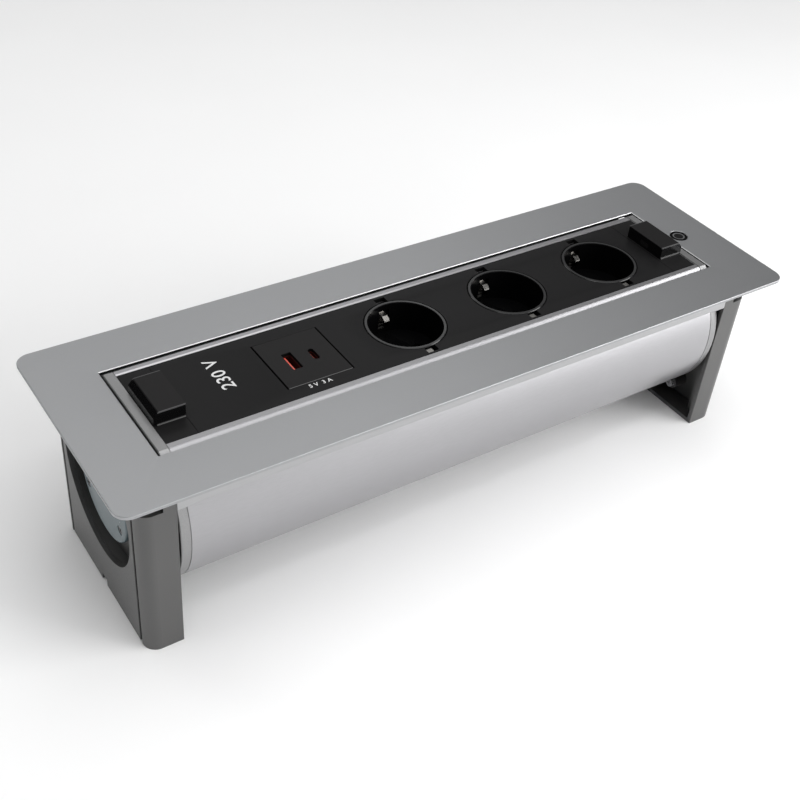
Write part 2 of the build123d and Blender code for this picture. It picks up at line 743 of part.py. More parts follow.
SB0, SB1, SBY, SBH = 148.0, 164.2, 13.8, 7.2
LEFT_SHIFT = 1.6     # the left block sits this much nearer to the middle
with BuildPart() as right_sensor_block:
    with BuildSketch(Plane.XZ.offset(-SBY)):
        with BuildLine():
            Polyline(
                (SB0, PANEL_TOP),
                (XS - 0.3, PANEL_TOP),
                (XS - 0.3, H + 0.05),
                (SB1, H + 0.05),
                (SB1 - 0.2, H + 3.8),
                (SB1 - 2.9, PANEL_TOP + SBH),
                (SB0, PANEL_TOP + SBH),
                close=True,
            )
        make_face()
    extrude(amount=2 * SBY)
    vertical = right_sensor_block.edges().filter_by(Axis.Z).filter_by(lambda e: e.center().X < SB0 + 1)
    fillet(vertical, radius=0.5)
    # thin foot along both sides
    with BuildSketch(yz(SB0 + 0.5, PANEL_TOP)):
        for side in (-1, 1):
            with BuildLine():
                Polyline(
                    (side * (SBY - 0.1), 0),
                    (side * (SBY + 0.5), 0),
                    (side * (SBY + 0.5), 0.7),
                    (side * (SBY + 0.2), 1.0),
                    (side * (SBY - 0.1), 1.0),
                    close=True,
                )
            make_face()
    extrude(amount=XS - 0.3 - SB0 - 0.5)
    with BuildSketch(Plane.XY.offset(PANEL_TOP)):
        with Locations((SB0 + 6.75, 0)):
            Rectangle(9.5, 23.0)
    extrude(amount=4.9, mode=Mode.SUBTRACT)
    with BuildSketch(yz(SB0 - 0.5, PANEL_TOP + 2.7)):
        RectangleRounded(7.0, 3.2, 1.2)
    extrude(amount=4.0, mode=Mode.SUBTRACT)
right_sensor_block.part.label = "right_sensor_block"
export_step(right_sensor_block.part, "parts/right_sensor_block.step")

with BuildPart() as left_block_drawn:
    mirror(right_sensor_block.part, about=Plane.YZ)
with BuildPart() as left_sensor_block:
    add(left_block_drawn.part.moved(Location((LEFT_SHIFT, 0, 0))))
left_sensor_block.part.label = "left_sensor_block"
export_step(left_sensor_block.part, "parts/left_sensor_block.step")

with BuildPart() as light_sensors:
    # a lens in each block's inner face with its emitter or receiver behind it
    for s, face in ((-1, SB0 - LEFT_SHIFT), (1, SB0)):
        with BuildSketch(yz(s * (face + 0.15), PANEL_TOP + 2.7)):
            RectangleRounded(6.96, 3.16, 1.18)
        extrude(amount=s * 2.2)
        with BuildSketch(Plane.XY.offset(PANEL_TOP - PANEL_T + 0.1)):
            with Locations((s * (face + 3.55), 0)):
                Rectangle(2.4, 5.0)
        extrude(amount=6.8)
light_sensors.part.label = "light_sensors"
export_step(light_sensors.part, "parts/light_sensors.step")

# ================================================================ sockets (middle one drawn, others placed)
MX = SOCKET_X[1]
CUP_BOTTOM = H - 38.0
with BuildPart() as middle_socket:
    with BuildSketch(Plane.XY.offset(CUP_BOTTOM)):
        with Locations((MX, 0)):
            Circle(CUP_R)
    extrude(amount=H - 0.2 - CUP_BOTTOM)
    rim_edge = middle_socket.edges().filter_by(GeomType.CIRCLE).sort_by(Axis.Z)[-1]
    chamfer(rim_edge, length=0.3)
    with BuildSketch(Plane.XY.offset(H - 0.2 - RECESS_DEPTH)):
        with Locations((MX, 0)):
            Circle(RECESS_R)
    extrude(amount=RECESS_DEPTH + 1, mode=Mode.SUBTRACT)
    # pin holes, shutter pocket, contact chambers
    with BuildSketch(Plane.XY.offset(CUP_BOTTOM)):
        with Locations((MX - PIN_PITCH / 2, 0), (MX + PIN_PITCH / 2, 0)):
            Circle(PIN_HOLE_R)
    extrude(amount=30.0, mode=Mode.SUBTRACT)
    with BuildSketch(Plane.XY.offset(CUP_BOTTOM)):
        with Locations((MX - PIN_PITCH / 2, 0), (MX + PIN_PITCH / 2, 0)):
            Circle(3.4)
    extrude(amount=12.2, mode=Mode.SUBTRACT)
    with BuildSketch(Plane.XY.offset(H - 22.8)):
        with Locations((MX, 0)):
            Circle(15.2)
            Circle(1.5, mode=Mode.SUBTRACT)
    extrude(amount=2.6, mode=Mode.SUBTRACT)
    # slot for the earth clip's strap, windows for its contact noses
    with BuildSketch(Plane.XY.offset(H - 25.4)):
        with Locations((MX, 0)):
            Rectangle(6.4, 50.0)
    extrude(amount=1.2, mode=Mode.SUBTRACT)
    with BuildSketch(Plane.XY.offset(H - 15.4)):
        with Locations((MX, 21.5), (MX, -21.5)):
            Rectangle(6.4, 8.0)
    extrude(amount=11.2, mode=Mode.SUBTRACT)
    # feet that hook under the panel's collars
    with BuildSketch(Plane.XY.offset(H - 12.6)):
        with Locations((MX, 0)):
            Circle(CUP_R + 1.6)
            Circle(CUP_R - 0.2, mode=Mode.SUBTRACT)
            Rectangle(60.0, 30.0, mode=Mode.SUBTRACT)
            Rectangle(7.5, 60.0, mode=Mode.SUBTRACT)
    extrude(amount=3.6)
middle_socket.part.label = "middle_socket"
export_step(middle_socket.part, "parts/middle_socket.step")

with BuildPart() as earth_clips:
    # one for each socket: a strap under the recess, a leaf up each side,
    # a nose into the recess and a bent tab on top at the front
    for x in SOCKET_X:
        with BuildSketch(Plane.YZ.offset(x - 2.6)):
            with Locations((0, H - 24.8)):
                Rectangle(45.6, 0.8)
            for s in (-1, 1):
                with Locations((s * 22.4, H - 15.1)):
                    Rectangle(0.8, 18.6)
        extrude(amount=5.2)
        with BuildSketch(Plane.YZ.offset(x - 2.6)):
            with Locations((-22.4, H - 4.0)):
                Rectangle(0.8, 5.2)
            with Locations((-23.6, H - 1.8)):
                Rectangle(3.2, 0.8)
        extrude(amount=3.4)
        # the noses are narrower than the leaves
        with BuildSketch(Plane.YZ.offset(x - 1.6)):
            for s in (-1, 1):
                with BuildLine():
                    Polyline(
                        (s * 22.2, H - 6.9),
                        (s * 18.9, H - 7.1),
                        (s * 16.5, H - 8.5),
                        (s * 16.2, H - 9.1),
                        (s * 16.5, H - 9.7),
                        (s * 22.2, H - 13.6),
                        (s * 22.2, H - 12.6),
                        (s * 17.4, H - 9.3),
                        (s * 17.2, H - 9.0),
                        (s * 19.2, H - 7.9),
                        (s * 22.2, H - 7.7),
                        close=True,
                    )
                make_face()
        extrude(amount=3.2)
earth_clips.part.label = "earth_clips"
export_step(earth_clips.part, "parts/earth_clips.step")

with BuildPart() as middle_shutter:
    # two flaps on one hub: they cover the pin holes until both pins push them aside
    with BuildSketch(Plane.XY.offset(H - 22.6)):
        with Locations((MX, 0)):
            Circle(3.4)
            Rectangle(PIN_PITCH, 4.6)
        with Locations((MX - PIN_PITCH / 2, 0), (MX + PIN_PITCH / 2, 0)):
            Circle(3.7)
        with Locations((MX, 0)):
            Circle(1.56, mode=Mode.SUBTRACT)
    extrude(amount=2.0)
middle_shutter.part.label = "middle_shutter"
export_step(middle_shutter.part, "parts/middle_shutter.step")

DX = SOCKET_X[2] - MX

with BuildPart() as right_socket:
    add(middle_socket.part.moved(Location((DX, 0, 0))))
right_socket.part.label = "right_socket"
export_step(right_socket.part, "parts/right_socket.step")

with BuildPart() as left_socket:
    add(middle_socket.part.moved(Location((-DX, 0, 0))))
left_socket.part.label = "left_socket"
export_step(left_socket.part, "parts/left_socket.step")

with BuildPart() as right_shutter:
    add(middle_shutter.part.moved(Location((DX, 0, 0))))
right_shutter.part.label = "right_shutter"
export_step(right_shutter.part, "parts/right_shutter.step")

with BuildPart() as left_shutter:
    add(middle_shutter.part.moved(Location((-DX, 0, 0))))
left_shutter.part.label = "left_shutter"
export_step(left_shutter.part, "parts/left_shutter.step")

# busbars with the pin sleeves of all three sockets
with BuildPart() as live_busbar:
    with BuildSketch(Plane.XY.offset(CUP_BOTTOM - 1.2)):
        with Locations((MX - PIN_PITCH / 2, 12.0)):
            Rectangle(2 * DX + 8.0, 6.0)
        for x in SOCKET_X:
            with Locations((x - PIN_PITCH / 2, 6.5)):
                Rectangle(6.0, 13.0)
            with Locations((x - PIN_PITCH / 2, 0)):
                Circle(3.2)
    extrude(amount=1.2)
    with BuildSketch(Plane.XY.offset(CUP_BOTTOM - 1.2)):
        with Locations(*[(x - PIN_PITCH / 2, 0) for x in SOCKET_X]):
            Circle(3.2)
            Circle(2.42, mode=Mode.SUBTRACT)
    extrude(amount=12.8)
    with BuildSketch(Plane.XY.offset(CUP_BOTTOM - 2)):
        with Locations(*[(x - PIN_PITCH / 2, 0) for x in SOCKET_X]):
            Circle(2.42)
    extrude(amount=4.0, mode=Mode.SUBTRACT)
live_busbar.part.label = "live_busbar"
export_step(live_busbar.part, "parts/live_busbar.step")

with BuildPart() as neutral_busbar:
    with BuildSketch(Plane.XY.offset(CUP_BOTTOM - 1.2)):
        with Locations((MX + PIN_PITCH / 2, -12.0)):
            Rectangle(2 * DX + 8.0, 6.0)
        for x in SOCKET_X:
            with Locations((x + PIN_PITCH / 2, -6.5)):
                Rectangle(6.0, 13.0)
            with Locations((x + PIN_PITCH / 2, 0)):
                Circle(3.2)
    extrude(amount=1.2)
    with BuildSketch(Plane.XY.offset(CUP_BOTTOM - 1.2)):
        with Locations(*[(x + PIN_PITCH / 2, 0) for x in SOCKET_X]):
            Circle(3.2)
            Circle(2.42, mode=Mode.SUBTRACT)
    extrude(amount=12.8)
    with BuildSketch(Plane.XY.offset(CUP_BOTTOM - 2)):
        with Locations(*[(x + PIN_PITCH / 2, 0) for x in SOCKET_X]):
            Circle(2.42)
    extrude(amount=4.0, mode=Mode.SUBTRACT)
neutral_busbar.part.label = "neutral_busbar"
export_step(neutral_busbar.part, "parts/neutral_busbar.step")

with BuildPart() as earth_busbar:
    with BuildSketch(Plane.XY.offset(H - 27.0)):
        with Locations((MX, 23.3)):
            Rectangle(2 * DX + 10.0, 1.0)
    extrude(amount=5.0)
earth_busbar.part.label = "earth_busbar"
export_step(earth_busbar.part, "parts/earth_busbar.step")

# ================================================================ USB charger module
with BuildPart() as usb_faceplate:
    with BuildSketch(Plane.XY.offset(PANEL_TOP - PANEL_T)):
        with Locations((USB_X, 0)):
            Rectangle(USB_L, USB_W)
        with Locations(USB_A):
            RectangleRounded(5.3, 13.3, 0.3, mode=Mode.SUBTRACT)
        with Locations(USB_C):
            RectangleRounded(3.2, 9.0, 1.59, mode=Mode.SUBTRACT)
    extrude(amount=PANEL_T + 0.05)
    with BuildSketch(Plane.XY.offset(PANEL_TOP - PANEL_T - 12.0)):
        with Locations((USB_X, 0)):
            Rectangle(USB_L, USB_W)
            Rectangle(USB_L - 3.0, USB_W - 3.0, mode=Mode.SUBTRACT)
    extrude(amount=12.0)
usb_faceplate.part.label = "usb_faceplate"
export_step(usb_faceplate.part, "parts/usb_faceplate.step")

with BuildPart() as usb_a_shell:
    with BuildSketch(Plane.XY.offset(H - 15.0)):
        with Locations(USB_A):
            RectangleRounded(5.2, 13.2, 0.35)
            RectangleRounded(4.6, 12.6, 0.2, mode=Mode.SUBTRACT)
    extrude(amount=12.9)
    with BuildSketch(Plane.XY.offset(H - 15.0)):
        with Locations(USB_A):
            Rectangle(4.8, 12.8)
    extrude(amount=0.8)
usb_a_shell.part.label = "usb_a_shell"
export_step(usb_a_shell.part, "parts/usb_a_shell.step")

with BuildPart() as usb_a_tongue:
    with BuildSketch(Plane.XY.offset(H - 14.2)):
        with Locations((USB_A[0] - 1.35, USB_A[1])):
            Rectangle(1.3, 11.4)
    extrude(amount=12.0)
usb_a_tongue.part.label = "usb_a_tongue"
export_step(usb_a_tongue.part, "parts/usb_a_tongue.step")

with BuildPart() as usb_c_shell:
    with BuildSketch(Plane.XY.offset(H - 15.0)):
        with Locations(USB_C):
            RectangleRounded(3.1, 8.9, 1.54)
            RectangleRounded(2.6, 8.4, 1.29, mode=Mode.SUBTRACT)
    extrude(amount=12.9)
    with BuildSketch(Plane.XY.offset(H - 15.0)):
        with Locations(USB_C):
            RectangleRounded(2.8, 8.6, 1.39)
    extrude(amount=6.0)
usb_c_shell.part.label = "usb_c_shell"
export_step(usb_c_shell.part, "parts/usb_c_shell.step")

with BuildPart() as usb_c_tongue:
    with BuildSketch(Plane.XY.offset(H - 9.0)):
        with Locations(USB_C):
            Rectangle(0.7, 6.7)
    extrude(amount=6.0)
usb_c_tongue.part.label = "usb_c_tongue"
export_step(usb_c_tongue.part, "parts/usb_c_tongue.step")

with BuildPart() as usb_board:
    with BuildSketch(Plane.XY.offset(H - 16.6)):
        with Locations((USB_X, 0)):
            Rectangle(USB_L - 1.0, USB_W - 1.0)
    extrude(amount=1.6)
    # converter parts under the board
    with BuildSketch(Plane.XY.offset(H - 30.0)):
        with Locations((USB_X - 8.0, 8.0)):
            Rectangle(14.0, 13.0)
        with Locations((USB_X + 9.0, 9.0), (USB_X + 9.0, -8.0)):
            Circle(4.5)
    extrude(amount=13.4)
    with BuildSketch(Plane.XY.offset(H - 22.0)):
        with Locations((USB_X - 8.0, -9.0)):
            Rectangle(10.0, 10.0)
    extrude(amount=5.4)
usb_board.part.label = "usb_board"
export_step(usb_board.part, "parts/usb_board.step")

# ================================================================ push button
with BuildPart() as button_bezel:
    with BuildSketch(Plane.XY.offset(BT)):
        with Locations((BTN_X, 0)):
            Circle(5.15)
    extrude(amount=0.45)
    top_ring = button_bezel.edges().filter_by(GeomType.CIRCLE).sort_by(Axis.Z)[-1]
    chamfer(top_ring, length=0.15)
    with BuildSketch(Plane.XY.offset(BT - 9.6)):
        with Locations((BTN_X, 0)):
            Circle(4.0)
    extrude(amount=9.6)
    with BuildSketch(Plane.XY.offset(BT - 2.5)):
        with Locations((BTN_X, 0)):
            Circle(3.65)
    extrude(amount=4.0, mode=Mode.SUBTRACT)
    with BuildSketch(Plane.XY.offset(BT - 8.6)):
        with Locations((BTN_X, 0)):
            Circle(3.05)
    extrude(amount=8.0, mode=Mode.SUBTRACT)
button_bezel.part.label = "button_bezel"
export_step(button_bezel.part, "parts/button_bezel.step")

with BuildPart() as button_nut:
    with BuildSketch(Plane.XY.offset(U - 2.6)):
        with Locations((BTN_X, 0)):
            RegularPolygon(5.6, 6)
            Circle(4.02, mode=Mode.SUBTRACT)
    extrude(amount=2.6)
button_nut.part.label = "button_nut"
export_step(button_nut.part, "parts/button_nut.step")

with BuildPart() as button_light_ring:
    with BuildSketch(Plane.XY.offset(BT - 2.5)):
        with Locations((BTN_X, 0)):
            Circle(3.62)
            Circle(2.82, mode=Mode.SUBTRACT)
    extrude(amount=2.8)
button_light_ring.part.label = "button_light_ring"
export_step(button_light_ring.part, "parts/button_light_ring.step")

with BuildPart() as button_cap:
    with BuildSketch(Plane.XY.offset(BT - 2.7)):
        with Locations((BTN_X, 0)):
            Circle(2.74)
    extrude(amount=3.1)
    cap_top = button_cap.edges().filter_by(GeomType.CIRCLE).sort_by(Axis.Z)[-1]
    fillet(cap_top, radius=0.25)
    with BuildSketch(Plane.XY.offset(BT - 3.6)):
        with Locations((BTN_X, 0)):
            Circle(2.97)
    extrude(amount=1.0)
    with BuildSketch(Plane.XY.offset(BT - 5.5)):
        with Locations((BTN_X, 0)):
            Circle(1.0)
    extrude(amount=2.5)
button_cap.part.label = "button_cap"
export_step(button_cap.part, "parts/button_cap.step")

with BuildPart() as button_spring:
    with BuildLine(Plane(origin=(BTN_X, 0, BT - 6.25))):
        Helix(pitch=0.62, height=2.45, radius=1.9)
    with BuildSketch(Plane(origin=(BTN_X + 1.9, 0, BT - 6.25), x_dir=(1, 0, 0), z_dir=(0, 1, 0.05))):
        Circle(0.15)
    sweep(is_frenet=True)
button_spring.part.label = "button_spring"
export_step(button_spring.part, "parts/button_spring.step")

with BuildPart() as button_switch:
    with BuildSketch(Plane.XY.offset(BT - 8.6)):
        with Locations((BTN_X, 0)):
            Circle(3.03)
    extrude(amount=2.2)
    with BuildSketch(Plane.XY.offset(BT - 6.5)):
        with Locations((BTN_X, 0)):
            Circle(0.8)
    extrude(amount=0.1)
button_switch.part.label = "button_switch"
export_step(button_switch.part, "parts/button_switch.step")

# ================================================================ electrics in the left bracket
with BuildPart() as power_inlet:
    with BuildSketch(Plane.XY.offset(0.3)):
        with Locations((-176.2, INLET_Y)):
            Rectangle(11.2, 23.8)
    extrude(amount=16.0)
    with BuildSketch(Plane.XY.offset(0.2)):
        with Locations((-176.2, INLET_Y)):
            RectangleRounded(8.6, 21.0, 1.5)
    extrude(amount=13.0, mode=Mode.SUBTRACT)
    with BuildSketch(Plane.XY.offset(13.0)):
        with Locations((-176.2, INLET_Y - 6.5), (-176.2, INLET_Y), (-176.2, INLET_Y + 6.5)):
            Circle(1.2)
    extrude(amount=10.0, mode=Mode.SUBTRACT)
power_inlet.part.label = "power_inlet"
export_step(power_inlet.part, "parts/power_inlet.step")

with BuildPart() as inlet_pins:
    with BuildSketch(Plane.XY.offset(3.5)):
        with Locations((-176.2, INLET_Y - 6.5), (-176.2, INLET_Y), (-176.2, INLET_Y + 6.5)):
            Circle(1.2)
    extrude(amount=14.8)
inlet_pins.part.label = "inlet_pins"
export_step(inlet_pins.part, "parts/inlet_pins.step")

with BuildPart() as control_board:
    with BuildSketch(yz(-180.9, 12.75, BOARD_Y)):
        Rectangle(36.0, 16.5)
    extrude(amount=1.6)
    # terminals, capacitor, controller and relay
    with BuildSketch(yz(-179.4, 12.75, BOARD_Y)):
        with Locations((13.5, 0)):
            Rectangle(7.0, 12.0)
        with Locations((5.0, 3.5)):
            Circle(3.2)
        with Locations((-11.0, 0)):
            Rectangle(11.0, 13.0)
    extrude(amount=6.0)
    with BuildSketch(yz(-179.4, 12.75, BOARD_Y)):
        with Locations((3.0, -4.5)):
            Rectangle(6.0, 6.0)
    extrude(amount=1.4)
control_board.part.label = "control_board"
export_step(control_board.part, "parts/control_board.step")

print("parts written:", len([n for n in os.listdir("parts") if n.endswith(".step")]))
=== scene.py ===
import bpy
import bmesh
import json
import math
from mathutils import Matrix, Vector


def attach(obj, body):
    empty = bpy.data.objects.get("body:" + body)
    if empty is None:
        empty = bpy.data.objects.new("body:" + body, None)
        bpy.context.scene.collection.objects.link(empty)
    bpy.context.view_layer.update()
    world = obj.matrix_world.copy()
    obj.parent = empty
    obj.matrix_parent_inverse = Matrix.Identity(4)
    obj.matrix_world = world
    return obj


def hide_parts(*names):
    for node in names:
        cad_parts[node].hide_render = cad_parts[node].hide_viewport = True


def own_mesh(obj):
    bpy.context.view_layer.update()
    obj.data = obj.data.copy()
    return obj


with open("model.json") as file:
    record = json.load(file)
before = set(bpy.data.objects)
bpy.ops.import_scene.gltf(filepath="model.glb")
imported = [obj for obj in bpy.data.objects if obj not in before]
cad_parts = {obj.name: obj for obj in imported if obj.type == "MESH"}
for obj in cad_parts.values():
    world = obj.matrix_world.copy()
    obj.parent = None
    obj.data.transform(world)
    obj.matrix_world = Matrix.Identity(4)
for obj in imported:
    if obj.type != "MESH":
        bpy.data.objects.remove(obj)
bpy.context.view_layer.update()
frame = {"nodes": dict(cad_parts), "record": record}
N = frame["nodes"]

MM = 0.001
H = 0.1040            # top of the desk plate
PANEL = 0.1036        # top of the black panel
RZ = 0.0637           # rotor axis


# ------------------------------------------------------------------ material helpers
class Graph:
    """A small helper that builds one material's nodes."""

    def __init__(self, name):
        self.m = bpy.data.materials.new(name)
        self.m.use_nodes = True
        self.t = self.m.node_tree
        self.t.nodes.clear()
        self.out = self.t.nodes.new("ShaderNodeOutputMaterial")
        self.bsdf = self.t.nodes.new("ShaderNodeBsdfPrincipled")
        self.t.links.new(self.bsdf.outputs[0], self.out.inputs[0])
        self.coord = self.t.nodes.new("ShaderNodeTexCoord")

    def node(self, kind, **props):
        n = self.t.nodes.new(kind)
        for k, v in props.items():
            setattr(n, k, v)
        return n

    def link(self, a, b):
        self.t.links.new(a, b)

    def place(self, scale=(1, 1, 1)):
        n = self.node("ShaderNodeMapping")
        n.inputs["Scale"].default_value = scale
        self.link(self.coord.outputs["Object"], n.inputs["Vector"])
        return n.outputs["Vector"]

    def noise(self, scale, detail=3.0, rough=0.5, stretch=(1, 1, 1), distortion=0.0):
        n = self.node("ShaderNodeTexNoise")
        n.inputs["Scale"].default_value = scale
        n.inputs["Detail"].default_value = detail
        n.inputs["Roughness"].default_value = rough
        n.inputs["Distortion"].default_value = distortion
        self.link(self.place(stretch), n.inputs["Vector"])
        return n.outputs["Fac"]

    def voronoi(self, scale, stretch=(1, 1, 1), feature="F1"):
        n = self.node("ShaderNodeTexVoronoi", feature=feature)
        n.inputs["Scale"].default_value = scale
        self.link(self.place(stretch), n.inputs["Vector"])
        return n.outputs["Distance"]

    def span(self, value, lo, hi, a=0.0, b=1.0):
        n = self.node("ShaderNodeMapRange")
        n.inputs["From Min"].default_value = lo
        n.inputs["From Max"].default_value = hi
        n.inputs["To Min"].default_value = a
        n.inputs["To Max"].default_value = b
        self.link(value, n.inputs["Value"])
        return n.outputs["Result"]

    def mix(self, fac, a, b, blend="MIX"):
        n = self.node("ShaderNodeMix", data_type="RGBA", blend_type=blend)
        for name, v in (("A", a), ("B", b)):
            sock = [s for s in n.inputs if s.name == name and s.type == "RGBA"][0]
            if isinstance(v, tuple):
                sock.default_value = (*v, 1.0)
            else:
                self.link(v, sock)
        if isinstance(fac, float):
            n.inputs["Factor"].default_value = fac
        else:
            self.link(fac, n.inputs["Factor"])
        return [s for s in n.outputs if s.type == "RGBA"][0]

    def math(self, op, a, b):
        n = self.node("ShaderNodeMath", operation=op)
        for i, v in enumerate((a, b)):
            if isinstance(v, (int, float)):
                n.inputs[i].default_value = v
            else:
                self.link(v, n.inputs[i])
        return n.outputs[0]

    def bump(self, height, strength, distance, normal=None):
        n = self.node("ShaderNodeBump")
        n.inputs["Strength"].default_value = strength
        n.inputs["Distance"].default_value = distance
        self.link(height, n.inputs["Height"])
        if normal is not None:
            self.link(normal, n.inputs["Normal"])
        return n.outputs["Normal"]

    def edge(self, lo=0.50, hi=0.56):
        """1 on convex edges, 0 elsewhere."""
        g = self.node("ShaderNodeNewGeometry")
        return self.span(g.outputs["Pointiness"], lo, hi)

    def axis(self, which):
        """Absolute object coordinate along x, y or z."""
        n = self.node("ShaderNodeSeparateXYZ")
        self.link(self.coord.outputs["Object"], n.inputs[0])
        return self.math("ABSOLUTE", n.outputs[which], 0.0)

    def set(self, **values):
        for k, v in values.items():
            self.bsdf.inputs[k.replace("_", " ")].default_value = v

    def feed(self, name, value):
        self.link(value, self.bsdf.inputs[name])


def shade(base, k):
    return tuple(max(0.0, c * k) for c in base)


def plate_cuts(g, col, rough):
    """The desk plate's sawn rim is a little darker than its top; the milled opening is painted almost black as shade,
    and the chamfer round it carries a painted highlight.
    """
    x, y = g.axis("X"), g.axis("Y")
    rim = g.math("MAXIMUM", g.span(x, 0.19996, 0.19998), g.span(y, 0.06221, 0.06223))
    col = g.mix(g.math("MULTIPLY", rim, 0.12), col, (0.10, 0.10, 0.105))
    # painted shade: the opening's cut faces are mixed almost to black
    painted_opening_shade = g.math("MULTIPLY", g.span(x, 0.16903, 0.16901), g.span(y, 0.03323, 0.03321))
    col = g.mix(g.math("MULTIPLY", painted_opening_shade, 0.96), col, (0.006, 0.006, 0.006))
    # painted highlight: the chamfer round the opening is mixed much lighter
    painted_chamfer_highlight = g.math("MULTIPLY", g.span(x, 0.16937, 0.16935), g.math("SUBTRACT", g.span(y, 0.03357, 0.03355), painted_opening_shade))
    col = g.mix(g.math("MULTIPLY", painted_chamfer_highlight, 0.5), col, (0.85, 0.855, 0.86))
    return col, g.math("ADD", rough, g.math("MULTIPLY", painted_opening_shade, 0.35))


def rail_line(g, col, rough):
    """A fine drawn line runs along the two top rails, and the strip outside it at the rear catches the light."""
    n = g.node("ShaderNodeSeparateXYZ")
    g.link(g.coord.outputs["Object"], n.inputs[0])
    top = g.span(n.outputs["Z"], H - 0.0012, H - 0.0010)
    y = g.axis("Y")
    line = g.math("MULTIPLY", g.span(y, 0.03040, 0.03055), g.span(y, 0.03110, 0.03095))
    col = g.mix(g.math("MULTIPLY", g.math("MULTIPLY", top, line), 0.45), col, (0.17, 0.17, 0.175))
    strip = g.math("MULTIPLY", top, g.span(n.outputs["Y"], 0.03110, 0.03125))
    return g.mix(g.math("MULTIPLY", strip, 0.55), col, (0.80, 0.80, 0.81)), rough


def metal(name, base, rough, metallic=1.0, grain=2500.0, depth=0.00001, strength=0.25, blotch=0.03,
          stretch=(1, 1, 1), aniso=0.0, speck=0.05, edge_light=0.12, after=None):
    """Blasted or satin metal: fine grain in colour, roughness and bump, broad blotches, and lighter worn edges."""
    g = Graph(name)
    fine = g.noise(grain, 4.0, 0.6, stretch)
    broad = g.noise(14.0, 2.0, 0.5)
    col = g.mix(g.span(fine, 0.3, 0.7), shade(base, 1 - speck), shade(base, 1 + speck))
    col = g.mix(g.span(broad, 0.35, 0.65, 0.0, 1.0), shade(base, 1 - blotch), shade(base, 1 + blotch), "MIX") if blotch < 0 else g.mix(
        g.span(broad, 0.3, 0.7, 0.0, blotch * 4), col, shade(base, 0.82))
    col = g.mix(g.span(g.edge(), 0, 1, 0.0, edge_light), col, shade(base, 1.5))
    r = g.span(fine, 0.25, 0.75, rough - 0.05, rough + 0.05)
    if after:
        col, r = after(g, col, r)
    g.feed("Base Color", col)
    g.feed("Roughness", r)
    g.feed("Normal", g.bump(fine, strength, depth))
    g.set(Metallic=metallic, Anisotropic=aniso)
    return g.m


def rim_highlight_wall_shade(g, col, rough):
    """The rim that stands just under the panel's top is painted lighter and glossier as a highlight, and the walls
    below it are painted darker as shade.
    """
    top = g.span(g.axis("Z"), H - 0.0009, H - 0.0007)
    # painted shade on the cup walls, painted highlight on the rim
    col = g.mix(top, shade((0.0014, 0.0014, 0.0016), 1.0), (0.016, 0.016, 0.0165))
    g.feed("Specular IOR Level", g.span(top, 0.0, 1.0, 0.16, 0.35))
    return col, g.math("SUBTRACT", rough, g.math("MULTIPLY", top, 0.10))


def cover_joint_shade(g, col, rough):
    """A band round the end covers' joint is painted near black as shade, with its specular turned down."""
    x, y = g.axis("X"), g.axis("Y")
    joint = g.math("MULTIPLY", g.math("MULTIPLY", g.span(y, 0.04095, 0.04101), g.span(y, 0.04323, 0.04321)), g.span(x, 0.1846, 0.1848))
    g.feed("Specular IOR Level", g.span(joint, 0.0, 1.0, 0.95, 0.05))
    return g.mix(g.math("MULTIPLY", joint, 0.95), col, (0.002, 0.002, 0.002)), rough


def block_faces(g, col, rough):
    """The raised blocks: satin top, walls painted darker as shade, and a foot strip and the top arris painted lighter
    as highlights.
    """
    z = g.axis("Z")
    # painted shade on the walls below the top
    wall = g.math("SUBTRACT", 1.0, g.span(z, 0.11035, 0.11045))
    col = g.mix(wall, col, (0.0028, 0.0028, 0.0030))
    side = g.axis("Y")
    # painted highlight along the foot
    foot = g.math("MULTIPLY", g.span(z, 0.10440, 0.10430), g.span(side, 0.01385, 0.01390))
    col = g.mix(foot, col, (0.12, 0.12, 0.12))
    # painted highlight along the top arris
    arris = g.math("MULTIPLY", g.span(z, 0.11010, 0.11020), g.span(side, 0.01338, 0.01345))
    col = g.mix(arris, col, (0.085, 0.085, 0.086))
    return col, g.math("SUBTRACT", rough, g.math("MULTIPLY", wall, 0.14))


def gap_walls_painted_shade(g, col, rough):
    """Below the panel's top the sides of the narrow gaps are painted black as shade, and made rougher."""
    wall = g.span(g.axis("Z"), H - 0.00062, H - 0.00068)
    return g.mix(wall, col, (0.0006, 0.0006, 0.0006)), g.math("ADD", rough, g.math("MULTIPLY", wall, 0.4))


def charger_face(g, col, rough):
    """As the panel, with a painted highlight along the front arris of the inset and its two side joints painted near
    black as shade.
    """
    col, rough = gap_walls_painted_shade(g, col, rough)
    n = g.node("ShaderNodeSeparateXYZ")
    g.link(g.coord.outputs["Object"], n.inputs[0])
    # painted highlight on the inset's front arris
    front = g.math("MULTIPLY", g.span(n.outputs["Y"], -0.01844, -0.01850), g.span(n.outputs["Z"], H - 0.0008, H - 0.0007))
    col = g.mix(front, col, (0.13, 0.13, 0.13))
    # painted shade: the inset's two side joints are mixed near black
    across = g.math("ABSOLUTE", g.math("ADD", n.outputs["X"], 0.0783), 0.0)
    side = g.span(across, 0.01758, 0.01766)
    g.feed("Specular IOR Level", g.span(side, 0.0, 1.0, 0.14, 0.02))
    return g.mix(side, col, (0.0006, 0.0006, 0.0006)), rough


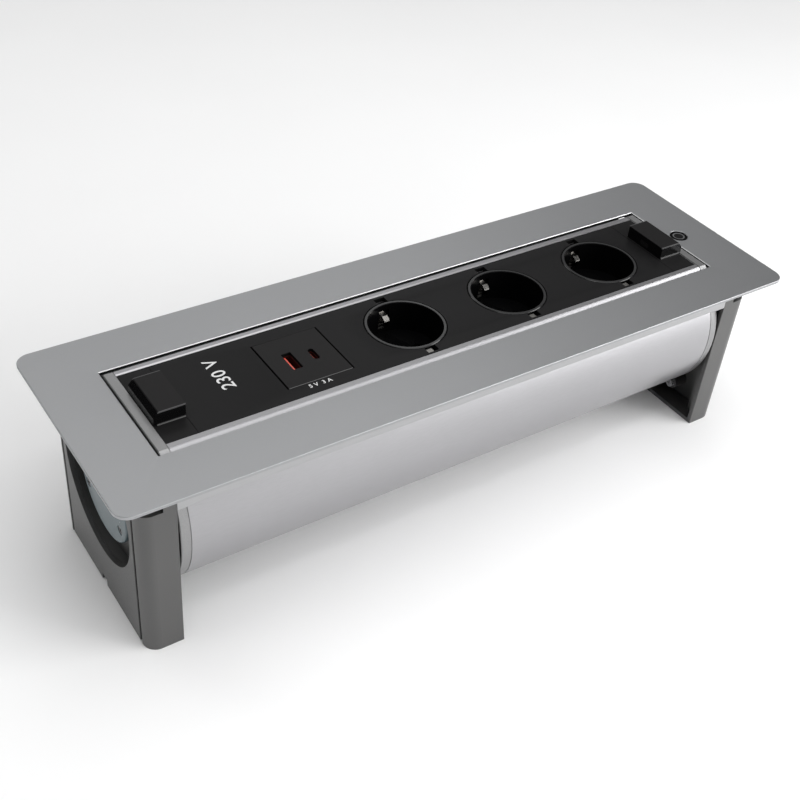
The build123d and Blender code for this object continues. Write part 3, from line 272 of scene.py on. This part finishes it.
def plastic(name, base, rough, grain=1800.0, depth=0.00002, strength=0.3, spec=0.5, speck=0.12, wear=0.10,
            coat=0.0, dust=0.0, after=None):
    """Moulded plastic: spark-eroded grain, slight colour drift, edges rubbed a little lighter and glossier."""
    g = Graph(name)
    fine = g.noise(grain, 5.0, 0.65)
    cells = g.voronoi(grain * 0.8)
    broad = g.noise(20.0, 3.0, 0.5)
    col = g.mix(g.span(fine, 0.3, 0.7), shade(base, 1 - speck), shade(base, 1 + speck))
    col = g.mix(g.span(broad, 0.35, 0.65, 0.0, 0.35), col, shade(base, 0.85))
    if dust:
        col = g.mix(g.span(g.noise(420.0, 6.0, 0.75), 0.60, 0.75, 0.0, dust), col, shade((0.5, 0.48, 0.45), 1.0))
    edge = g.edge()
    col = g.mix(g.span(edge, 0, 1, 0.0, wear), col, tuple(min(1.0, c * 2.2 + 0.03) for c in base))
    r = g.span(fine, 0.25, 0.75, rough - 0.06, rough + 0.06)
    if after:
        col, r = after(g, col, r)
    g.feed("Base Color", col)
    g.feed("Roughness", g.math("SUBTRACT", r, g.span(edge, 0, 1, 0.0, 0.08)))
    g.feed("Normal", g.bump(g.math("ADD", fine, g.math("MULTIPLY", cells, 0.5)), strength, depth))
    g.set(Specular_IOR_Level=spec, Coat_Weight=coat, Coat_Roughness=0.12)
    return g.m


M = {}
M["plate_aluminium"] = metal("plate_aluminium", (0.395, 0.400, 0.409), 0.44, metallic=0.9, grain=3200, depth=0.000012,
                             strength=0.35, after=plate_cuts)
M["rotor_aluminium"] = metal("rotor_aluminium", (0.393, 0.390, 0.402), 0.38, metallic=0.95, grain=2600, depth=0.000006,
                             strength=0.2, stretch=(0.08, 1, 1), after=rail_line)
M["rail_aluminium"] = metal("rail_aluminium", (0.42, 0.422, 0.428), 0.40, metallic=0.95, grain=2600, depth=0.000008,
                            strength=0.2, stretch=(0.08, 1, 1))
M["cap_silver"] = metal("cap_silver", (0.31, 0.31, 0.312), 0.42, metallic=0.85, grain=1500, depth=0.00002, strength=0.4, speck=0.10)
M["bracket_plastic"] = plastic("bracket_plastic", (0.0455, 0.045, 0.0438), 0.44, grain=1700, depth=0.00003, spec=0.95,
                              after=cover_joint_shade)
M["panel_black"] = plastic("panel_black", (0.0060, 0.0058, 0.0061), 0.47, grain=2600, depth=0.000015, strength=0.3, spec=0.13,
                           after=gap_walls_painted_shade)
M["socket_black"] = plastic("socket_black", (0.003, 0.003, 0.0032), 0.34, grain=900, depth=0.000006, strength=0.12, wear=0.15, spec=0.35,
                            after=rim_highlight_wall_shade)
M["usb_black"] = plastic("usb_black", (0.0072, 0.0068, 0.0070), 0.47, grain=2600, depth=0.000015, spec=0.14,
                         after=charger_face)
M["block_black"] = plastic("block_black", (0.0064, 0.0060, 0.0062), 0.48, grain=2600, depth=0.000015, strength=0.3, spec=0.16,
                           after=block_faces)
M["bezel_black"] = plastic("bezel_black", (0.0012, 0.0012, 0.0013), 0.45, grain=2600, depth=0.00001, spec=0.06, wear=0.03)
M["lens_black"] = plastic("lens_black", (0.005, 0.0045, 0.005), 0.35, grain=500, depth=0.000002, strength=0.1, spec=0.3)
M["hub_translucent"] = plastic("hub_translucent", (0.125, 0.175, 0.195), 0.24, grain=500, depth=0.000004, strength=0.08, speck=0.02, wear=0.0)
M["bush_acetal"] = plastic("bush_acetal", (0.72, 0.71, 0.66), 0.40, speck=0.03)
M["gear_acetal"] = plastic("gear_acetal", (0.70, 0.68, 0.62), 0.38, speck=0.03)
M["steel"] = metal("steel", (0.56, 0.56, 0.57), 0.28, grain=900, depth=0.00001, speck=0.08)
M["screw_dull"] = metal("screw_dull", (0.20, 0.205, 0.21), 0.42, grain=900, depth=0.00001, speck=0.08)
M["nickel"] = metal("nickel", (0.25, 0.242, 0.230), 0.28, grain=700, depth=0.000005, speck=0.04)
# The USB shells are painted dark red-brown: painted shade inside the ports with a painted red glow.
M["shell_dark"] = metal("shell_dark", (0.075, 0.017, 0.014), 0.35, metallic=0.6, grain=900, depth=0.000005, speck=0.08)
M["brass"] = metal("brass", (0.78, 0.58, 0.24), 0.26, grain=900, depth=0.00001, speck=0.06)
M["copper"] = metal("copper", (0.80, 0.45, 0.30), 0.28, grain=900, depth=0.00001, speck=0.06)
M["usb_orange"] = plastic("usb_orange", (0.56, 0.060, 0.035), 0.36, speck=0.05)
M["board_green"] = plastic("board_green", (0.015, 0.12, 0.05), 0.35, speck=0.06, coat=0.3)
M["board_dark"] = plastic("board_dark", (0.008, 0.012, 0.010), 0.40, speck=0.06)
M["motor_zinc"] = metal("motor_zinc", (0.55, 0.56, 0.57), 0.32, grain=1200, depth=0.00001)
M["ring_grey"] = plastic("ring_grey", (0.09, 0.09, 0.093), 0.35, speck=0.03)
M["shutter_grey"] = plastic("shutter_grey", (0.045, 0.045, 0.05), 0.35)
M["inlet_black"] = plastic("inlet_black", (0.014, 0.014, 0.014), 0.45)

slots = {s["node"]: s["material_slot"] for s in frame["record"]["subparts"]}
for node, obj in N.items():
    obj.data.materials.clear()
    obj.data.materials.append(M[slots[node]])
for node, finish in (("left_sensor_block", "block_black"), ("right_sensor_block", "block_black"), ("button_bezel", "bezel_black"),
                     ("position_sensors", "board_dark"), ("hub_screws", "screw_dull")):
    N[node].data.materials.clear()
    N[node].data.materials.append(M[finish])

# ------------------------------------------------------------------ moulded and trimmed edges
def soften(node, width, segments=2):
    m = N[node].modifiers.new("edge", "BEVEL")
    m.width = width
    m.segments = segments
    m.limit_method = "ANGLE"
    m.angle_limit = math.radians(40)
    m.use_clamp_overlap = True
    m.harden_normals = False


for node in ("left_sensor_block", "right_sensor_block"):
    soften(node, 0.00045, 3)
soften("usb_faceplate", 0.00012)

# ------------------------------------------------------------------ the button's spring is copied into its own object on the frame, and the part itself hidden
coil = bpy.data.objects.new("button_coil", N["button_spring"].data.copy())
bpy.context.scene.collection.objects.link(coil)
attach(coil, "frame")
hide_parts("button_spring")
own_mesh(coil)

# ------------------------------------------------------------------ printed marks
white = Graph("mark_white")
white_fine = white.noise(3000.0, 3.0)
white.feed("Base Color", white.mix(white.span(white_fine, 0.3, 0.7), (0.62, 0.62, 0.62), (0.72, 0.72, 0.72)))
white.feed("Roughness", white.span(white_fine, 0.3, 0.7, 0.5, 0.6))


def mark(name, text, start, size, turned, stroke):
    """Plain white print on the panel; start is the left end of its base line."""
    data = bpy.data.curves.new(name, "FONT")
    data.body = text
    data.size = size
    data.space_character = 1.05
    data.extrude = 0.000012
    data.offset = stroke
    data.materials.append(white.m)
    o = bpy.data.objects.new(name, data)
    bpy.context.collection.objects.link(o)
    o.location = (start[0], start[1], PANEL + 0.000013)
    o.rotation_euler = (0, 0, turned)
    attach(o, "rotor")
    return o


mark("panel_mark", "230 V", (-0.1166, -0.0056), 0.0098, math.pi / 2, 0.00008)
mark("charger_mark", "5 V  3 A", (-0.0868, -0.0226), 0.0035, 0.0, 0.00005)

# ------------------------------------------------------------------ floor, light, camera
floor_mesh = bpy.data.meshes.new("floor")
floor_mesh.from_pydata([(-6, -6, 0), (6, -6, 0), (6, 6, 0), (-6, 6, 0)], [], [(0, 1, 2, 3)])
floor = bpy.data.objects.new("floor", floor_mesh)
bpy.context.collection.objects.link(floor)
fg = Graph("floor_paper")
fg.feed("Base Color", fg.mix(fg.span(fg.noise(6.0, 2.0), 0.3, 0.7), (0.93, 0.93, 0.93), (0.945, 0.945, 0.945)))
fg.set(Roughness=0.9, Specular_IOR_Level=0.1)
floor_mesh.materials.append(fg.m)


def softbox(name, at, aim, size, power, colour=(1, 1, 1)):
    data = bpy.data.lights.new(name, "AREA")
    data.shape = "RECTANGLE"
    data.size, data.size_y = size
    data.energy = power
    data.color = colour
    o = bpy.data.objects.new(name, data)
    o.location = at
    o.rotation_euler = (Vector(aim) - Vector(at)).to_track_quat("-Z", "Y").to_euler()
    bpy.context.collection.objects.link(o)
    return o


softbox("top", (0.0, 0.0, 1.6), (0.0, 0.0, 0.0), (1.8, 1.4), 16.9)
softbox("top_front", (0.0, -0.8, 1.4), (0.0, 0.0, 0.05), (1.4, 0.8), 4.5)
softbox("back_left", (-0.45, 1.35, 1.15), (0.0, 0.0, 0.08), (0.9, 0.8), 4.0)
softbox("back_mid", (0.7, 1.5, 1.4), (0.0, 0.0, 0.08), (1.0, 0.8), 2.7)
softbox("back_right", (1.5, 1.4, 1.3), (0.0, 0.0, 0.08), (0.8, 0.8), 0.8)
softbox("right_front", (1.1, -0.9, 0.60), (0.05, 0.0, 0.06), (1.0, 0.9), 18.8)
softbox("front", (0.3, -1.4, 0.65), (0.0, 0.0, 0.06), (1.2, 0.7), 6.2)
softbox("left", (-1.7, 0.3, 0.8), (-0.1, 0.0, 0.05), (0.8, 0.8), 3.4)

world = bpy.data.worlds.new("studio")
bpy.context.scene.world = world
world.use_nodes = True
bg = world.node_tree.nodes["Background"]
bg.inputs[0].default_value = (0.95, 0.96, 1.0, 1)
bg.inputs[1].default_value = 0.01

cam_data = bpy.data.cameras.new("camera")
cam_data.sensor_fit = "HORIZONTAL"
cam_data.sensor_width = 36.0
cam_data.lens = 1183.3183 / 800 * 36.0
cam_data.clip_start = 0.01
cam = bpy.data.objects.new("camera", cam_data)
bpy.context.collection.objects.link(cam)
turn = Matrix((
    (0.83092094, 0.29641758, -0.47085774),
    (-0.55084283, 0.5574681, -0.62112921),
    (0.07837455, 0.77547788, 0.62649141),
))
cam.matrix_world = Matrix.Translation((-0.31635, -0.39600, 0.45243)) @ turn.to_4x4()
bpy.context.scene.camera = cam
bpy.context.scene.view_settings.view_transform = "Standard"
